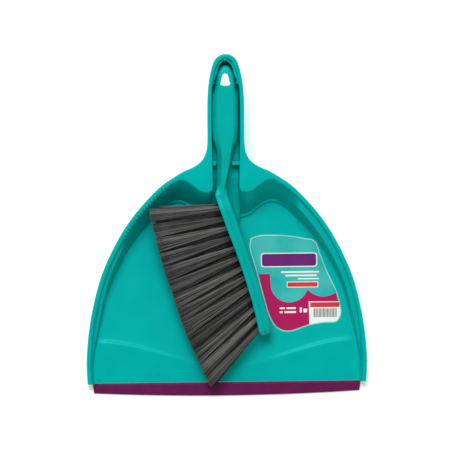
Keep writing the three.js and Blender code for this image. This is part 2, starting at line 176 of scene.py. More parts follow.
# ---- Pan sizes, in millimetres ----
FLOOR_Z = 6.0
FRONT_Y = -147.0
RIM_FRONT_Z = 13.0
RIM_SLOPE = 0.17
SKIRT = 5.0  # how far the rim's outer edge hangs down
STEP_WIDTHS = (0.9, 1.9)  # on the right and on the left
LEDGE_WIDTHS = (8.2, 4.2)
LEDGE_END_YS = (28, -12)  # where the ledge along the wall fades out, on the right and on the left
STEP_DROP, LEDGE_DROP = 5.4, 7.2
FOOT_STEP = 3.0
CREST_RISE = 1.3
CREST_BACK = 5.0
CREST_Y, CREST_WAVE, CREST_HALF_LENGTH = -121.6, 11.9, 120.6  # the wavy bead across the floor
FLOOR_FRONT_HALF = 124.5
ROWS_STRAIGHT_Y = -75  # behind this the floor's rows of points don't follow the bead any more
APRON_FRONT_Z = 2.8
BRUSH_SLOPE = 0.13
BRUSH_Z = 32.5
CHANNEL_DEPTH_BELOW_BRUSH = 9.4
CHUTE_START_Y, CHUTE_END_Y = 45.0, -9.0
CHANNEL_HALF = 12.4
LOBE_END_Y = 38.0
POCKET_Y = 7.4
ROWS_END_Y = 4.4  # where the floor's straight rows end and the pockets begin
FOOT_RIB = 3.0  # thickness of the ribs that the pan rests on
FEET_X, FEET_FRONT_Y, FEET_CROSS_Y, FEET_BACK_Y = 45.0, -104.0, -58.75, 14.0
LIP_HALF = 126.3
LIP_FRONT_Y, LIP_BOW = -160.0, 3.5
LIP_BACK_Z, LIP_FRONT_Z = 4.0, 1.6
FIT_GAP = 0.35
EASE_ROUNDS, EASE_REACH = 24, 7  # how often and how far the rim's inner corner is smoothed
WALL_RADII = [1.1, 0.6, 0.8, 0.5, 0.5]  # at the wall's corners, from the rim down
CURVE_STEPS = 1500  # points on a dense plan curve
CORNER_STEPS, BACK_STEPS, CHANNEL_STEPS = 18, 40, 90  # stations round corner, back and handle
BACK_SHARE = 0.19  # how much of the handle's outline belongs to the back of the bowl
RIM_ROWS = 11  # rows of a profile that make the skirt and the rim
FLOOR_STEPS, HALF_CHUTE_STEPS, CHUTE_STEPS = 26, 4, 24
COMB_FROM_Y, COMB_TO_Y = -10, 41.5

# Plan curves of the pan's right half, front to back.
OUTLINE_SIDE = [
    (131.2, FRONT_Y), (131.7, -122), (127.4, -85), (115.9, -42), (93.8, 0.5), (65.3, 33.7),
    (41, 50.8),
]
OUTLINE_HANDLE = [
    (41, 50.8), (28.5, 56.3), (20.8, 63.6), (17.5, 75), (17.2, 97), (17, 119), (15, 138.5),
    (9.8, 155), (0, 160),
]
TOP_SIDE = [
    (127.4, FRONT_Y), (127.9, -122), (123.6, -85), (112.3, -43.5), (90.9, -2), (63, 30.4),
    (42.4, 45.4),
]
TOP_BACK = [(42.4, 45.4), (34, 40.3), (26.3, 34.3), (19.4, 31.4), (14, 33), (12.4, 38)]
TOP_CHANNEL = [
    (12.4, 38), (12.8, 57), (13.4, 90), (13.3, 118), (12.5, 132), (10.9, 142), (8.5, 149),
    (5.6, 153.5), (0, 156.4),
]
FOOT_SIDE = [
    (124.6, FRONT_Y), (124.4, -122), (116.6, -85), (107, -52), (88.3, -17.6), (69.4, 4.3),
    (52, 19.3), (41, 21.4),
]
FOOT_BACK = [(41, 21.4), (33.3, 17.6), (25, 10.8), (17.5, 7.6), (12.4, 7.4)]

# Right half of the hang hole, from its top to its bottom.
HANG_HOLE = [
    (0, 142.3), (2.3, 141.2), (3.2, 138.6), (4.0, 135.6), (4.8, 132.8), (3.9, 131), (0, 130.4),
]

# The brush lies in a plane of its own: x and y in it, and its width across it.
HEAD_HALF_WIDTH = 12.0
ROW_SPACING = 8.0
OUTER_ROW_TUFTS = 13
TUFT_RADIUS = 2.35
CLUMPS = 9  # bundles that the filaments of a tuft cling together in
CLING = 0.3  # how far a filament's end is drawn towards the middle of its bundle
ROOT_LINE = [(-10.6, 29.5), (-2.2, 5.2), (11.7, -32.8), (23.3, -70.8), (30.8, -104.5)]
BACK_LINE = [(1.6, 31), (10.6, 5.2), (23.1, -32.8), (35.2, -70.8), (42.3, -101)]
TIP_LINE = [(-73.4, 17.2), (-63.7, -24.2), (-51.7, -63.2), (-37.8, -104), (-15, -155.6)]
BLUNT_END_Y = -150.8  # where the brush's foremost corner is cut off square
FLANGE = 2.1  # how far the handle's sides spread beyond its half width
# y, centre x, half width, half thickness
HANDLE = [
    (26, -4.6, 4.9, 8.6), (33.7, -5.1, 4.4, 8.2), (43.2, -4, 5, 7.8), (52.7, -2.5, 6, 7.6),
    (62.2, -1.4, 6.7, 7.6), (71.7, -0.8, 7.7, 7.8), (81.2, -0.7, 9.1, 8), (92.6, -0.7, 10.1, 8),
    (109.7, -0.6, 10.2, 8), (124, -0.4, 9.8, 7.8), (134, 0, 9, 7.4), (143, 0.1, 7.4, 6.8),
    (147.5, 0.1, 5.2, 6), (150, 0.1, 3, 5), (151, 0.1, 1.2, 4),
]

LABEL_EDGE = [
    (24, -12), (33, -9.4), (45.5, -9), (60, -10), (74, -12.4), (84.5, -15.5), (90, -29),
    (96, -44.5), (104, -61.5), (107.6, -74), (108.6, -84), (104, -91.6), (92.4, -92.6),
    (78, -95), (60, -100.6), (48, -97.4), (40.5, -86), (34.6, -66), (28.4, -41.5), (23, -22),
]
LABEL_BASE = FLOOR_Z + 0.06
FILM_THICKNESS = 0.16
INK_THICKNESS = 0.03
STRIPES = 22

# The stage, in metres and watts
CAMERA_AIM = (0.0004, -0.0008, 0.03)
KEY_PLACE, KEY_SIZE, KEY_POWER = (-0.3, 1.2, 2.5), 1.3, 54
AMBIENT_STRENGTH = 0.47
SENSOR_WIDTH = 36  # millimetres

WEAR_SIZE = 18  # size of the patches that the gloss varies over
REMESH_SIZE, SMOOTH_ROUNDS = 0.62, 6  # melt the brush's head and handle into one moulding


# ---- Numbers ----
def lerp(a, b, t):
    return a + (b - a) * t


def smooth(x, low, high):
    """Goes from 0 at low to 1 at high without a corner."""
    t = min(max((x - low) / (high - low), 0.0), 1.0)
    return t * t * (3 - 2 * t)


def rim_z(y):
    return RIM_FRONT_Z + RIM_SLOPE * (y - FRONT_Y)


def brush_z(y):
    return BRUSH_Z + BRUSH_SLOPE * y


def channel_z(y):
    """Height of the channel's floor, which becomes the chute towards the front."""
    if y >= CHUTE_START_Y:
        return brush_z(y) - CHANNEL_DEPTH_BELOW_BRUSH
    top = brush_z(CHUTE_START_Y) - CHANNEL_DEPTH_BELOW_BRUSH
    return FLOOR_Z + (top - FLOOR_Z) * (y - CHUTE_END_Y) / (CHUTE_START_Y - CHUTE_END_Y)


def crest_y(x):
    return CREST_Y - CREST_WAVE * math.cos(math.pi * x / CREST_HALF_LENGTH)


# ---- Curves and meshes ----
def spline(points, steps):
    """steps + 1 points at equal distances along the smooth curve through points."""
    knots = [Vector(p) for p in points]
    dense = []
    for i in range(len(knots) - 1):
        before = knots[max(i - 1, 0)]
        after = knots[min(i + 2, len(knots) - 1)]
        a, b = knots[i], knots[i + 1]
        from_slope, to_slope = (b - before) / 2, (after - a) / 2
        for k in range(60):
            t = k / 60
            dense.append(
                a * (2 * t**3 - 3 * t**2 + 1)
                + from_slope * (t**3 - 2 * t**2 + t)
                + b * (3 * t**2 - 2 * t**3)
                + to_slope * (t**3 - t**2)
            )
    dense.append(knots[-1])
    lengths = [0.0]
    for a, b in zip(dense, dense[1:]):
        lengths.append(lengths[-1] + (b - a).length)
    made, j = [], 0
    for i in range(steps + 1):
        want = lengths[-1] * i / steps
        while j < len(lengths) - 2 and lengths[j + 1] < want:
            j += 1
        share = (want - lengths[j]) / (lengths[j + 1] - lengths[j])
        made.append(dense[j].lerp(dense[j + 1], min(share, 1.0)))
    return made


def half_spline(points, steps):
    """Half of a smooth curve that goes on as its mirror image, so that it meets x = 0 square."""
    mirrored = [(-x, y) for x, y in reversed(points[:-1])]
    return spline([*points, *mirrored], 2 * steps)[: steps + 1]


def rounded(points, radii, steps=3):
    """The polyline with its inner corners rounded; radii has one value per inner corner."""
    made = [points[0]]
    for before, corner, after, radius in zip(points, points[1:], points[2:], radii):
        reach_in = min(radius, (before - corner).length * 0.45)
        reach_out = min(radius, (after - corner).length * 0.45)
        start = corner + (before - corner).normalized() * reach_in
        end = corner + (after - corner).normalized() * reach_out
        for k in range(steps + 1):
            t = k / steps
            made.append(start * (1 - t) ** 2 + corner * 2 * t * (1 - t) + end * t * t)
    made.append(points[-1])
    return made


def new_piece(name, body, slot_name, verts, faces, materials):
    """A mesh object from points in millimetres, riding on a body."""
    mesh = bpy.data.meshes.new(name)
    mesh.from_pydata([tuple(c * MM for c in v) for v in verts], [], faces)
    mesh.validate()
    piece = bpy.data.objects.new(name, mesh)
    bpy.context.scene.collection.objects.link(piece)
    for material in materials:
        mesh.materials.append(material)
    if body:
        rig.ride(piece, body)
    if slot_name:
        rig.slot(piece, slot_name)
    return piece


def select_only(piece):
    bpy.ops.object.select_all(action="DESELECT")
    piece.select_set(True)
    bpy.context.view_layer.objects.active = piece


def tidy_mesh(piece, outward=True):
    """Joins doubled points and turns the faces outwards."""
    select_only(piece)
    bpy.ops.object.mode_set(mode="EDIT")
    bpy.ops.mesh.select_all(action="SELECT")
    bpy.ops.mesh.remove_doubles(threshold=0.02 * MM)
    bpy.ops.mesh.dissolve_degenerate(threshold=0.001 * MM)
    if outward:
        bpy.ops.mesh.normals_make_consistent(inside=False)
    bpy.ops.object.mode_set(mode="OBJECT")


def apply_modifier(piece, kind, **settings):
    select_only(piece)
    modifier = piece.modifiers.new(kind.title(), kind)
    for key, value in settings.items():
        setattr(modifier, key, value)
    bpy.ops.object.modifier_apply(modifier=modifier.name)


def shade(piece, degrees=35):
    select_only(piece)
    bpy.ops.object.shade_smooth_by_angle(angle=math.radians(degrees))


def ring_faces(rings, count):
    """Quads between rings of count points, numbered one ring after the other."""
    faces = []
    for r in range(rings - 1):
        for i in range(count):
            j = (i + 1) % count
            faces.append((r * count + i, r * count + j, (r + 1) * count + j, (r + 1) * count + i))
    return faces


def loft_piece(name, rings, materials=(), body=None, slot_name=None):
    """A closed solid through rings, with a flat cap at each end."""
    count = len(rings[0])
    verts = [p for ring in rings for p in ring]
    faces = ring_faces(len(rings), count)
    faces.append(tuple(range(count)))
    faces.append(tuple(range((len(rings) - 1) * count, len(rings) * count)))
    piece = new_piece(name, body, slot_name, verts, faces, materials)
    tidy_mesh(piece)
    return piece


def block(name, centre, size, bevel, turn=(0, 0, 0)):
    """A cube with bevelled edges at its place, in millimetres, for joining into a piece."""
    bpy.ops.object.select_all(action="DESELECT")
    bpy.ops.mesh.primitive_cube_add(size=1, location=[c * MM for c in centre], rotation=turn)
    made = bpy.context.active_object
    made.name = name
    made.scale = [s * MM for s in size]
    bpy.ops.object.transform_apply(location=False, rotation=False)
    bpy.ops.object.mode_set(mode="EDIT")
    bpy.ops.mesh.select_all(action="SELECT")
    bpy.ops.mesh.bevel(offset=bevel * MM, segments=3, affect="EDGES")
    bpy.ops.object.mode_set(mode="OBJECT")
    bpy.ops.object.transform_apply()
    return made


def join(pieces, name):
    """One object from several, with the first one's place."""
    select_only(pieces[0])
    for piece in pieces[1:]:
        piece.select_set(True)
    bpy.ops.object.join()
    pieces[0].name = name
    return pieces[0]


# ---- Materials ----
def linear(hex_colour):
    """An sRGB hex colour, such as #00b0ad, as linear light."""
    parts = [int(hex_colour[i : i + 2], 16) / 255 for i in (1, 3, 5)]
    return (*[c / 12.92 if c <= 0.04045 else ((c + 0.055) / 1.055) ** 2.4 for c in parts], 1.0)


def add_node(material, kind, links=None, **settings):
    """Adds a node; settings are its properties or, where it has none so named, its sockets."""
    node = material.node_tree.nodes.new(kind)
    for key, value in settings.items():
        if hasattr(node, key):
            setattr(node, key, value)
        else:
            node.inputs[key.replace("_", " ")].default_value = value
    for socket, source in (links or {}).items():
        material.node_tree.links.new(source, node.inputs[socket])
    return node


def new_material(name, roughness, ior, **constants):
    """A material, its shader and its Object coordinates."""
    material = bpy.data.materials.new(name)
    material.use_nodes = True
    shader = material.node_tree.nodes["Principled BSDF"]
    shader.inputs["Roughness"].default_value = roughness
    shader.inputs["IOR"].default_value = ior
    for key, value in constants.items():
        shader.inputs[key.replace("_", " ")].default_value = value
    coords = add_node(material, "ShaderNodeTexCoord").outputs["Object"]
    return material, shader, coords


def two_tone(material, shader, source, stops):
    """Base colour from a ramp with two stops, each a position and a hex colour."""
    ramp = add_node(material, "ShaderNodeValToRGB", {"Fac": source.outputs["Fac"]})
    for element, (position, colour) in zip(ramp.color_ramp.elements, stops):
        element.position = position
        element.color = linear(colour)
    material.node_tree.links.new(ramp.outputs["Color"], shader.inputs["Base Color"])


def mottle(material, shader, coords, light, dark, size_mm):
    """Colour that drifts between two shades over patches of size_mm."""
    patches = add_node(
        material, "ShaderNodeTexNoise", {"Vector": coords}, Scale=1 / (size_mm * MM), Detail=3.0
    )
    two_tone(material, shader, patches, ((0.35, dark), (0.65, light)))


def grain(material, shader, coords, size_mm, height_mm, strength, spread=(0.3, 0.45)):
    """Fine relief of grains of size_mm, which also varies the roughness."""
    grains = add_node(
        material, "ShaderNodeTexNoise", {"Vector": coords}, Scale=1 / (size_mm * MM), Detail=2.0
    )
    bump = add_node(
        material, "ShaderNodeBump", {"Height": grains.outputs["Fac"]}, Strength=strength,
        Distance=height_mm * MM,
    )
    material.node_tree.links.new(bump.outputs["Normal"], shader.inputs["Normal"])
    wear = add_node(
        material, "ShaderNodeTexNoise", {"Vector": coords}, Scale=1 / (WEAR_SIZE * MM), Detail=4.0
    )
    gloss = add_node(
        material, "ShaderNodeMapRange", {"Value": wear.outputs["Fac"]}, To_Min=spread[0],
        To_Max=spread[1],
    )
    material.node_tree.links.new(gloss.outputs["Result"], shader.inputs["Roughness"])


def moulded_polypropylene(name, light, dark):
    """Polypropylene from a polished mould: even turquoise, satin gloss, faint flow mottle."""
    material, shader, coords = new_material(
        name, 0.36, 1.49, Specular_IOR_Level=0.25, Specular_Tint=(0.12, 1, 0.97, 1)
    )
    mottle(material, shader, coords, light, dark, 22)
    grain(material, shader, coords, 0.9, 0.03, 0.25, (0.3, 0.42))
    return material


def soft_rubber(name, light, dark):
    """Thermoplastic rubber: dark, slightly waxy, with a fine sprayed-mould grain."""
    material, shader, coords = new_material(name, 0.45, 1.5, Specular_IOR_Level=0.18)
    mottle(material, shader, coords, light, dark, 9)
    grain(material, shader, coords, 0.8, 0.06, 0.4, (0.38, 0.52))
    return material


def drawn_filament(name, light, dark):
    """Crimped polymer filament: charcoal that varies from strand to strand, with a soft glint."""
    material, shader, coords = new_material(name, 0.42, 1.53)
    strands = add_node(
        material, "ShaderNodeAttribute", attribute_name="strand", attribute_type="GEOMETRY"
    )
    two_tone(material, shader, strands, ((0, dark), (1, light)))
    grain(material, shader, coords, 0.7, 0.03, 0.2, (0.36, 0.5))
    return material


def printed_film(name, light, dark, roughness=0.16):
    """Screen ink on polyester film: flat colour under a clear glossy coat, with faint ripples."""
    material, shader, coords = new_material(
        name, roughness, 1.5, Specular_IOR_Level=0.2, Coat_Weight=0.12, Coat_Roughness=0.1
    )
    mottle(material, shader, coords, light, dark, 28)
    grain(material, shader, coords, 7.0, 0.12, 0.35, (roughness, roughness + 0.1))
    return material


def studio_paper(name, light, dark):
    """Matt white background paper with a faint tooth."""
    material, shader, coords = new_material(
        name, 0.9, 1.45, Emission_Color=(1, 1, 1, 1), Emission_Strength=0.25
    )
    mottle(material, shader, coords, light, dark, 60)
    grain(material, shader, coords, 1.5, 0.05, 0.15, (0.85, 0.95))
    return material


# ---- Settings ----
def length_setting(name, description, default):
    return bpy.props.FloatProperty(
        name=name, description=description, default=default, unit="LENGTH"
    )


def colour_setting(name, default):
    return bpy.props.StringProperty(name=name, description="sRGB hex", default=default)


class PanSettings(bpy.types.PropertyGroup):
    """Sizes and colour of the pan."""

    wall: length_setting("Wall", "Moulded wall thickness", 1.6 * MM)
    edge_radius: length_setting("Edge radius", "Radius of the rim's edge", 2.1 * MM)
    comb_teeth: bpy.props.IntProperty(
        name="Comb teeth", description="Ribs on the left of the rim", default=18
    )
    colour: colour_setting("Colour", "#00b0ae")
    colour_dark: colour_setting("Dark", "#00abaa")


class BrushSettings(bpy.types.PropertyGroup):
    """Sizes and colours of the brush."""

    filaments: bpy.props.IntProperty(
        name="Filaments", description="Filaments in each tuft", default=130
    )
    filament: length_setting("Filament", "Filament diameter", 0.42 * MM)
    crimp: length_setting("Crimp", "Height of the filaments' waves", 0.22 * MM)
    seed: bpy.props.IntProperty(
        name="Seed", description="Seed of the filaments' scatter", default=7
    )
    colour: colour_setting("Colour", "#05a9a6")
    bristle_light: colour_setting("Light", "#868486")
    bristle_dark: colour_setting("Dark", "#1c1b1d")


class TrimSettings(bpy.types.PropertyGroup):
    """Colours of the lip and the label."""

    rubber: colour_setting("Lip", "#6c1151")
    magenta: colour_setting("Magenta", "#b90f5f")
    red: colour_setting("Red", "#d73c41")
    purple: colour_setting("Purple", "#701f74")


class StageSettings(bpy.types.PropertyGroup):
    """Camera, lights and background."""

    distance: length_setting("Distance", "From the camera to the pan", 5.0)
    side_view: bpy.props.FloatProperty(
        name="Side view", description="Degrees right of straight above", default=-2.2
    )
    roll: bpy.props.FloatProperty(
        name="Roll", description="Turn of the picture in degrees", default=-0.66
    )
    view_width: length_setting("View width", "Width seen at the pan's height", 0.4246)


# ---- Pan ----
def wall_heights(top, foot, is_left):
    """Distances in from the rim's edge and heights of the wall's corners at one station."""
    width = (foot - top).length
    top_z = rim_z(top.y)
    drop = top_z - FLOOR_Z
    end = LEDGE_END_YS[is_left]
    ledge = (1 - smooth(top.y, end - 6, end + 6)) * lerp(0.45, 1, smooth(top.y, -122, -96))
    back = 1 - smooth(abs(top.x), 44, 62)
    step = min(STEP_WIDTHS[is_left], width * 0.2)
    shelf = step + min(LEDGE_WIDTHS[is_left], width * 0.56)
    foot_in = max(width - 0.9, lerp(shelf, width, 0.66))
    foot_out = max(width - 3.3, lerp(shelf, width, 0.33))

    def plain(at):
        return top_z - at / width * drop

    return [
        (step, lerp(plain(step), top_z - STEP_DROP, ledge)),
        (shelf, lerp(plain(shelf), max(top_z - LEDGE_DROP, FLOOR_Z + 1), ledge)),
        (foot_out, lerp(plain(foot_out), FLOOR_Z + FOOT_STEP + 0.3, back)),
        (foot_in, lerp(plain(foot_in), FLOOR_Z + FOOT_STEP, back)),
        (width, FLOOR_Z),
    ]


def rim_points(outer, top):
    """Corners of the skirt and the rim at one station."""
    rim = rim_z(outer.y)
    return [
        Vector((outer.x, outer.y, rim - SKIRT)),
        Vector((outer.x, outer.y, rim)),
        Vector((top.x, top.y, rim_z(top.y))),
    ]


def bowl_profile(outer, top, foot, is_left, edge_radius):
    """One station of the bowl, from the skirt's lower edge over the rim and down to the floor."""
    inward = (foot - top).normalized()
    points = rim_points(outer, top)
    for at, height in wall_heights(top, foot, is_left):
        place = top + inward * at
        points.append(Vector((place.x, place.y, height)))
    end = foot + inward * 2.0
    points.append(Vector((end.x, end.y, FLOOR_Z)))
    return rounded(points, [edge_radius, *WALL_RADII, 1.1], steps=4)


def channel_profile(outer, top, edge_radius):
    """One station of the handle, from the skirt over the rim and down to the channel's floor."""
    bottom = channel_z(top.y)
    depth = rim_z(top.y) - bottom
    foot_x = max(top.x - 0.4, 0.0)
    points = rim_points(outer, top)
    for share in (0.15, 0.35, 0.55, 0.7, 1.0):
        points.append(Vector((lerp(top.x, foot_x, share), top.y, rim_z(top.y) - share * depth)))
    points.append(Vector((foot_x * 0.55, top.y, bottom)))
    return rounded(points, [edge_radius, *WALL_RADII, min(3.0, foot_x * 0.4)], steps=4)


def side_stations():
    """y of every station of the foot on the pan's side, front to back."""
    crest = crest_y(FLOOR_FRONT_HALF)
    front = [lerp(FRONT_Y, crest, i / 12) for i in range(12)]
    bead = [crest + CREST_BACK * i / 6 for i in range(6)]
    middle = [lerp(crest + CREST_BACK, CHUTE_END_Y, i / 34) for i in range(34)]
    back = [lerp(CHUTE_END_Y, ROWS_END_Y, i / 5) for i in range(6)]
    return front + bead + middle + back


def row_point(station, x):
    """Where a row of the floor that starts at a side station passes x: the rows at the front
    follow the wavy crest."""
    crest_side, crest = crest_y(FLOOR_FRONT_HALF), crest_y(x)
    if station <= crest_side:
        return lerp(FRONT_Y, crest, (station - FRONT_Y) / (crest_side - FRONT_Y))
    behind = station - crest_side - CREST_BACK
    if behind <= 0:
        return crest + (station - crest_side)
    share = min(behind / (ROWS_STRAIGHT_Y - crest_side - CREST_BACK), 1.0)
    return lerp(crest + CREST_BACK, ROWS_STRAIGHT_Y, share) if share < 1 else station


def floor_height(x, y):
    """Height of the floor, of the bead across it and of the ramp in front of the bead."""
    crest = crest_y(x)
    rise = CREST_RISE * smooth(abs(x), 20, 90)
    if y >= crest:
        return FLOOR_Z + rise * (1 - smooth(y, crest, crest + CREST_BACK))
    share = (crest - y) / (crest - FRONT_Y)
    return lerp(FLOOR_Z + rise * (1 - 0.1 * share), APRON_FRONT_Z, share)


def eased_stations(stations, corner):
    """The stations with the rim's bend between side and back rounded."""
    for _ in range(EASE_ROUNDS):
        eased = list(stations)
        for i in range(corner - EASE_REACH, corner + EASE_REACH + 1):
            before, after = stations[i - 1], stations[i + 1]
            outer, top = (stations[i][k] * 0.5 + (before[k] + after[k]) * 0.25 for k in (0, 1))
            eased[i] = (outer, top, stations[i][2])
        stations = eased
    return stations


def plan_stations():
    """Outer edge, inner edge of the rim and foot of the wall round the right half: first the
    bowl's stations, then the handle's, which have no foot."""
    top_dense, outer_dense = spline(TOP_SIDE, CURVE_STEPS), spline(OUTLINE_SIDE, CURVE_STEPS)
    foot_dense = spline(FOOT_SIDE, CURVE_STEPS)
    split = max(i for i, p in enumerate(foot_dense) if p.y < ROWS_END_Y and p.x > 60)
    shares = []
    for y in side_stations():
        near = min(range(split + 2), key=lambda i: abs(foot_dense[i].y - y))
        shares.append(near / CURVE_STEPS)
    shares += [
        lerp(split / CURVE_STEPS, 1.0, (i + 1) / CORNER_STEPS) for i in range(CORNER_STEPS)
    ]
    places = [round(share * CURVE_STEPS) for share in shares]
    stations = [(outer_dense[k], top_dense[k], foot_dense[k]) for k in places]
    corner = len(stations) - 1

    outer_handle = half_spline(OUTLINE_HANDLE, CURVE_STEPS)
    back = list(zip(spline(TOP_BACK, BACK_STEPS), spline(FOOT_BACK, BACK_STEPS)))
    for i, (top, foot) in enumerate(back[1:], 1):
        outer = outer_handle[round(CURVE_STEPS * BACK_SHARE * i / BACK_STEPS)]
        stations.append((outer, top, foot))
    for i, top in enumerate(half_spline(TOP_CHANNEL, CHANNEL_STEPS)):
        outer = outer_handle[round(CURVE_STEPS * lerp(BACK_SHARE, 1.0, i / CHANNEL_STEPS))]
        stations.append((outer, top, None))
    return eased_stations(stations, corner)


class Sheet:
    """Points and faces drawn on the right half or its mirror image; shared points are kept once."""

    def __init__(self):
        self.verts, self.faces, self.index = [], [], {}

    def point(self, p, is_left):
        at = (-p.x if is_left else p.x, p.y, p.z)
        key = tuple(round(c, 3) for c in at)
        if key not in self.index:
            self.index[key] = len(self.verts)
            self.verts.append(at)
        return self.index[key]

    def face(self, corners, is_left):
        ids = list(dict.fromkeys(self.point(p, is_left) for p in corners))
        if len(ids) > 2:
            self.faces.append(tuple(reversed(ids)) if is_left else tuple(ids))


def floor_rows(edge):
    """Rows of points over the right half of the floor, each from the wall to the middle."""
    rows = []
    for y, end in zip(side_stations(), edge):
        places = [lerp(end.x, CHANNEL_HALF, (k + 1) / FLOOR_STEPS) for k in range(FLOOR_STEPS)]
        places += [
            lerp(CHANNEL_HALF, 0, (k + 1) / HALF_CHUTE_STEPS) for k in range(HALF_CHUTE_STEPS)
        ]
        row = [end]
        for x in places:
            at_y = lerp(row_point(y, x), end.y, smooth(x, end.x - 12, end.x))
            row.append(Vector((x, at_y, floor_height(x, at_y))))
        rows.append(row)
    return rows


def chute_rows(channel_edge):
    """Rows of points over the right half of the chute and of the channel's floor."""
    ends = []
    for i in range(CHUTE_STEPS):
        y = lerp(CHUTE_END_Y, LOBE_END_Y, i / CHUTE_STEPS)
        ends.append(Vector((CHANNEL_HALF, y, channel_z(y))))
    shares = [1 - k / HALF_CHUTE_STEPS for k in range(HALF_CHUTE_STEPS + 1)]
    return [[Vector((end.x * s, end.y, end.z)) for s in shares] for end in ends + channel_edge]


def pan_sheet(edge_radius):
    """The pan's upper side as one sheet: points and faces."""
    stations = plan_stations()
    bowl_count = sum(foot is not None for _, _, foot in stations)
    sheet = Sheet()
    for is_left in (False, True):
        profiles = []
        for outer, top, foot in stations:
            if foot is None:
                profiles.append(channel_profile(outer, top, edge_radius))
            else:
                profiles.append(bowl_profile(outer, top, foot, is_left, edge_radius))
        for i, (a, b) in enumerate(zip(profiles, profiles[1:])):
            # between bowl and handle only the rim goes on; a cheek of the chute closes the rest
            for k in range(RIM_ROWS if i + 1 == bowl_count else len(a) - 1):
                sheet.face((a[k], b[k], b[k + 1], a[k + 1]), is_left)
    edge = [profile[-1] for profile in profiles]
    corner_tail = profiles[bowl_count][-6:]  # the foot of the channel's first profile

    rows = floor_rows(edge)
    chute_row = next(i for i, y in enumerate(side_stations()) if y >= CHUTE_END_Y)
    for is_left in (False, True):
        for i, (a, b) in enumerate(zip(rows, rows[1:])):
            for k in range(FLOOR_STEPS if i >= chute_row else len(a) - 1):
                sheet.face((a[k], b[k], b[k + 1], a[k + 1]), is_left)
        sheet.face(edge[len(rows) : bowl_count] + rows[-1][FLOOR_STEPS::-1], is_left)

    strip = chute_rows(edge[bowl_count:])
    for is_left in (False, True):
        for i, (a, b) in enumerate(zip(strip, strip[1:])):
            for k in range(HALF_CHUTE_STEPS):
                meet = corner_tail if (i, k) == (CHUTE_STEPS - 1, 0) else [b[k]]
                sheet.face((a[k], *meet, b[k + 1], a[k + 1]), is_left)
    return sheet.verts, sheet.faces


def bevelled(piece, width, segments):
    apply_modifier(piece, "BEVEL", width=width * MM, segments=segments, limit_method="ANGLE")
    return piece


def cheek(sign):
    """The side of the chute, from the pan's floor up to the rim, as a bevelled plate."""
    slope = (rim_z(LOBE_END_Y) - FLOOR_Z) / (LOBE_END_Y - POCKET_Y)
    chute_slope = channel_z(1) - channel_z(0)
    meet = (FLOOR_Z - slope * POCKET_Y - channel_z(0)) / (chute_slope - slope)
    wall_end = LOBE_END_Y - 1.2
    outline = [
        (CHUTE_END_Y + 0.4, FLOOR_Z - 1),
        (CHUTE_END_Y + 0.4, FLOOR_Z),
        (meet, channel_z(meet)),
        (wall_end, FLOOR_Z + slope * (wall_end - POCKET_Y)),
        (LOBE_END_Y + 4, rim_z(LOBE_END_Y + 4) - 1),
        (LOBE_END_Y + 4, channel_z(LOBE_END_Y + 4) - 1),
        (POCKET_Y + 2, FLOOR_Z - 1),
    ]
    sides = (CHANNEL_HALF - 0.05, CHANNEL_HALF + 1.4)
    rings = [[Vector((sign * x, y, z)) for y, z in outline] for x in sides]
    return bevelled(loft_piece(f"cheek{sign}", rings), 0.3, 2)


def end_cap(sign):
    """Closes the hollow rim at the pan's front corner."""
    outline = [
        (124.2, 4.6), (124.6, 6.4), (127.2, 12.6), (128.2, 13), (130.4, 13), (131, 12.4),
        (131, 8.2), (127, 4.8),
    ]
    ends = (FRONT_Y - 1.1, FRONT_Y + 0.8)
    rings = [[Vector((sign * x, y, z)) for x, z in outline] for y in ends]
    return bevelled(loft_piece(f"end_cap{sign}", rings), 0.5, 3)


def feet():
    """The ribs under the pan that it rests on: two rails and a crossbar."""
    height = FLOOR_Z - 1.0
    middle_y, length = (FEET_BACK_Y + FEET_FRONT_Y) / 2, FEET_BACK_Y - FEET_FRONT_Y
    z = height / 2 + 0.01
    rails = [
        block(f"rail{sign}", (sign * FEET_X, middle_y, z), (FOOT_RIB, length, height), 0.5)
        for sign in (-1, 1)
    ]
    return [*rails, block("crossbar", (0, FEET_CROSS_Y, z), (2 * FEET_X, FOOT_RIB, height), 0.5)]


def hang_hole_cutter(margin):
    """A bell-shaped prism right through the handle, for cutting the hang hole."""
    bell = HANG_HOLE + [(-x, y) for x, y in HANG_HOLE[-2:0:-1]]
    outline = inset_outline(closed_spline(bell, 48), -margin)
    return loft_piece("hole_cutter", [[Vector((p.x, p.y, z)) for p in outline] for z in (20, 80)])


def cut(piece, cutter):
    apply_modifier(piece, "BOOLEAN", operation="DIFFERENCE", object=cutter, solver="EXACT")
    bpy.data.objects.remove(cutter)


def build_pan(settings):
    verts, faces = pan_sheet(settings.edge_radius / MM)
    colours = (settings.colour, settings.colour_dark)
    material = moulded_polypropylene("moulded polypropylene pan", *colours)
    pan = new_piece("pan_shell", "dustpan", "pan_plastic", verts, faces, [material])
    tidy_mesh(pan, outward=False)
    apply_modifier(pan, "SOLIDIFY", thickness=settings.wall, offset=-1.0, use_quality_normals=True)
    cut(pan, hang_hole_cutter(0.4))
    for plate in (cheek(-1), cheek(1), end_cap(-1), end_cap(1), *feet()):
        plate.data.materials.append(material)
        pan = join([pan, plate], "pan_shell")
    shade(pan, 32)
    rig.replaces(pan, "pan")


class SETWORKS_OT_pan(bpy.types.Operator):
    """Models the pan and its handle as one moulding"""

    bl_idname = "setworks.pan"
    bl_label = "Pan"

    def execute(self, context):
        build_pan(context.scene.dust_pan)
        return {"FINISHED"}


